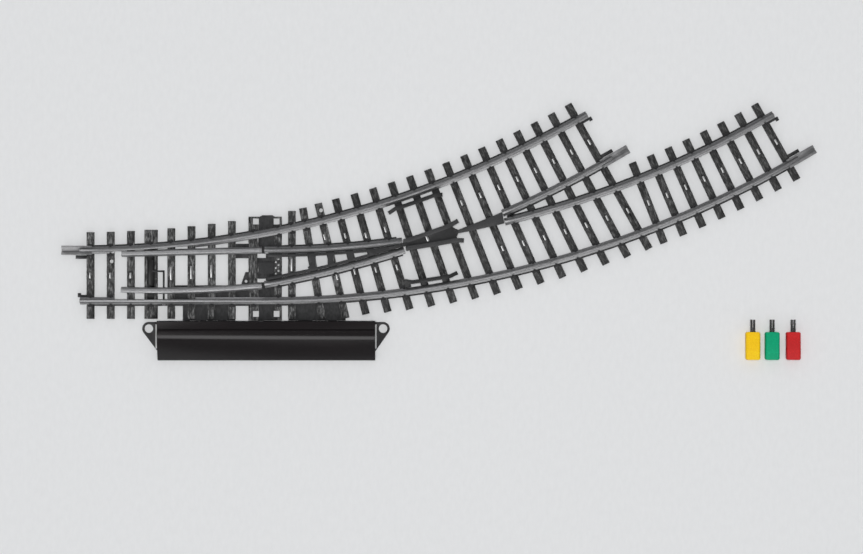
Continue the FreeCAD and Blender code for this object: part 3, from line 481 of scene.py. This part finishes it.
def tie_lines():
    """Centre line of each tie, and whether it lies beyond the shared part of the grid."""
    lines = []
    for x in STRAIGHT_TIES:
        top = RADIUS - math.sqrt(RADIUS ** 2 - x ** 2) + HALF_TIE
        lines.append((Vector((x, top, 0)), Vector((x, -HALF_TIE, 0)), False))
    for x in HEEL_TIES:
        lines.append((*(Vector((x, y, 0)) for y in HEEL_TIE_ENDS), False))
    for ends in TURNING_TIES:
        lines.append((*(Vector((*end, 0)) * MM for end in ends), False))
    for length in FAN_TIES:
        turn = length / RADIUS
        far = SHIFT * math.sin(turn)
        far += math.sqrt((RADIUS + HALF_TIE) ** 2 - (SHIFT * math.cos(turn)) ** 2)
        near = RADIUS - HALF_TIE
        lines.append((curve_point(turn, near), curve_point(turn, far), False))
    for length in OUTER_TIES:
        turn = (length - SHIFT) / RADIUS
        ends = (curve_point(turn, RADIUS + side, SHIFT) for side in (-HALF_TIE, HALF_TIE))
        lines.append((*ends, True))
    return lines


# Rail runs: name, distance from the curve's centre, start of the curve, first and last X,
# and the side that faces out of the track
RAIL_RUNS = (
    ("left_stock", RADIUS - RAIL, 0.0, 0.0, math.inf, 1),
    ("right_stock", RADIUS + RAIL, SHIFT, 0.0, math.inf, -1),
    ("left_closure", RADIUS - RAIL, SHIFT, 0.068, 0.110, 1),
    ("right_closure", RADIUS + RAIL, 0.0, 0.068, 0.110, -1),
    ("inner_exit", RADIUS + RAIL, 0.0, 0.148, math.inf, -1),
    ("outer_exit", RADIUS - RAIL, SHIFT, 0.149, math.inf, 1),
)
STOCK_RAILS = ("left_stock", "right_stock")
CLOSURE_RAILS = ("left_closure", "right_closure")
OUTER_RAILS = ("right_stock", "outer_exit")
TONGUE_SPAN = (0.011, 0.066)
# Plate and spike head: size, distance from the rail's middle, height over the tie, taper
FASTENINGS = (
    ((0.0019, 0.00085, 0.00032), 0.00172, 0.00016, 0.12),
    ((0.0008, 0.00050, 0.00052), 0.00138, 0.00058, 0.25),
)


def chairs():
    """Rail fastenings: a plate and a spike head beside the foot at each tie."""
    bm = bmesh.new()
    for start, end, outer in tie_lines():
        for rail, reach, shift, first, last, out in RAIL_RUNS:
            if outer and rail not in OUTER_RAILS:
                continue
            point, heading = crossing(start, end, reach, shift)
            if not first < point.x < last:
                continue
            across = Vector((-math.sin(heading), math.cos(heading), 0))
            by_tongue = TONGUE_SPAN[0] < point.x < TONGUE_SPAN[1]
            one_side = rail in CLOSURE_RAILS or (rail in STOCK_RAILS and by_tongue)
            for side in (1, -1):
                if side != out and one_side:
                    continue
                for size, aside, rise, taper in FASTENINGS:
                    spot = point + across * side * aside
                    spot.z = TIE_TOP + rise
                    block_into(bm, spot, size, heading, taper)
    mesh = bpy.data.meshes.new("rail_chairs")
    bm.to_mesh(mesh)
    bm.free()
    rounded(new_piece("rail_chairs", mesh, CHAIR), 0.00006)


chairs()

# ---------------------------------------------------------------- floor, lights, camera
LOW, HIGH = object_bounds()
MIDDLE = (LOW + HIGH) / 2
FLOOR_HALF = 6.0
FLOOR_LEVEL = -0.00005
corners = [(x * FLOOR_HALF, y * FLOOR_HALF, FLOOR_LEVEL)
           for x, y in ((-1, -1), (1, -1), (1, 1), (-1, 1))]
floor_mesh = bpy.data.meshes.new("floor")
floor_mesh.from_pydata(corners, [], [(0, 1, 2, 3)])
floor = bpy.data.objects.new("floor", floor_mesh)
bpy.context.scene.collection.objects.link(floor)
floor_mesh.materials.append(floor_paper())

world = bpy.data.worlds.new("studio")
bpy.context.scene.world = world
world.use_nodes = True
sky = world.node_tree.nodes["Background"]
sky.inputs[0].default_value = (0.95, 0.97, 1.0, 1)
sky.inputs[1].default_value = 0.25

# Soft boxes: name, place beside the middle of the track, height, power in watts, size, and
# the kind of ray that does not see them
LIGHTS = (
    ("key", (-0.1, -1.0), 1.4, 2.5, (2.6, 1.0), None),
    ("glint", (-0.1, -1.0), 1.3, 38.0, (3.0, 1.5), "visible_diffuse"),
    ("fill", (0.1, 1.1), 1.4, 2.0, (2.4, 1.0), None),
    ("gleam", (0.1, 1.1), 1.4, 17.0, (2.6, 1.0), "visible_diffuse"),
    ("top", (0.0, 0.0), 2.4, 34.0, (0.4, 0.4), "visible_glossy"),
)
for name, aside, height, power, size, hidden in LIGHTS:
    light = bpy.data.lights.new(name, "AREA")
    light.shape = "RECTANGLE"
    light.size, light.size_y = size
    light.energy = power
    obj = bpy.data.objects.new(name, light)
    bpy.context.scene.collection.objects.link(obj)
    place = Vector((MIDDLE.x + aside[0], MIDDLE.y + aside[1], height))
    obj.location = place
    obj.rotation_mode = "QUATERNION"
    obj.rotation_quaternion = (MIDDLE - place).to_track_quat("-Z", "Y")
    if hidden:
        setattr(obj, hidden, False)

# The camera looks straight down. The picture's middle is given as a share of the part's box,
# and its width as a multiple of the part's length.
SPAN = HIGH - LOW
CAMERA_HEIGHT = 1.6
CAMERA_SPOT = (0.4899, 0.3234)
PICTURE_WIDTH = 1.1414
FOCUS_LEVEL = 0.004
SENSOR = 36.0
camera_data = bpy.data.cameras.new("camera")
camera = bpy.data.objects.new("camera", camera_data)
bpy.context.scene.collection.objects.link(camera)
camera.location = (LOW.x + SPAN.x * CAMERA_SPOT[0], LOW.y + SPAN.y * CAMERA_SPOT[1],
                   CAMERA_HEIGHT)
camera_data.sensor_width = SENSOR
camera_data.lens = SENSOR * (CAMERA_HEIGHT - FOCUS_LEVEL) / (SPAN.x * PICTURE_WIDTH)
camera_data.clip_start = 0.05
camera_data.clip_end = 50
bpy.context.scene.camera = camera
bpy.context.scene.view_settings.view_transform = "Standard"
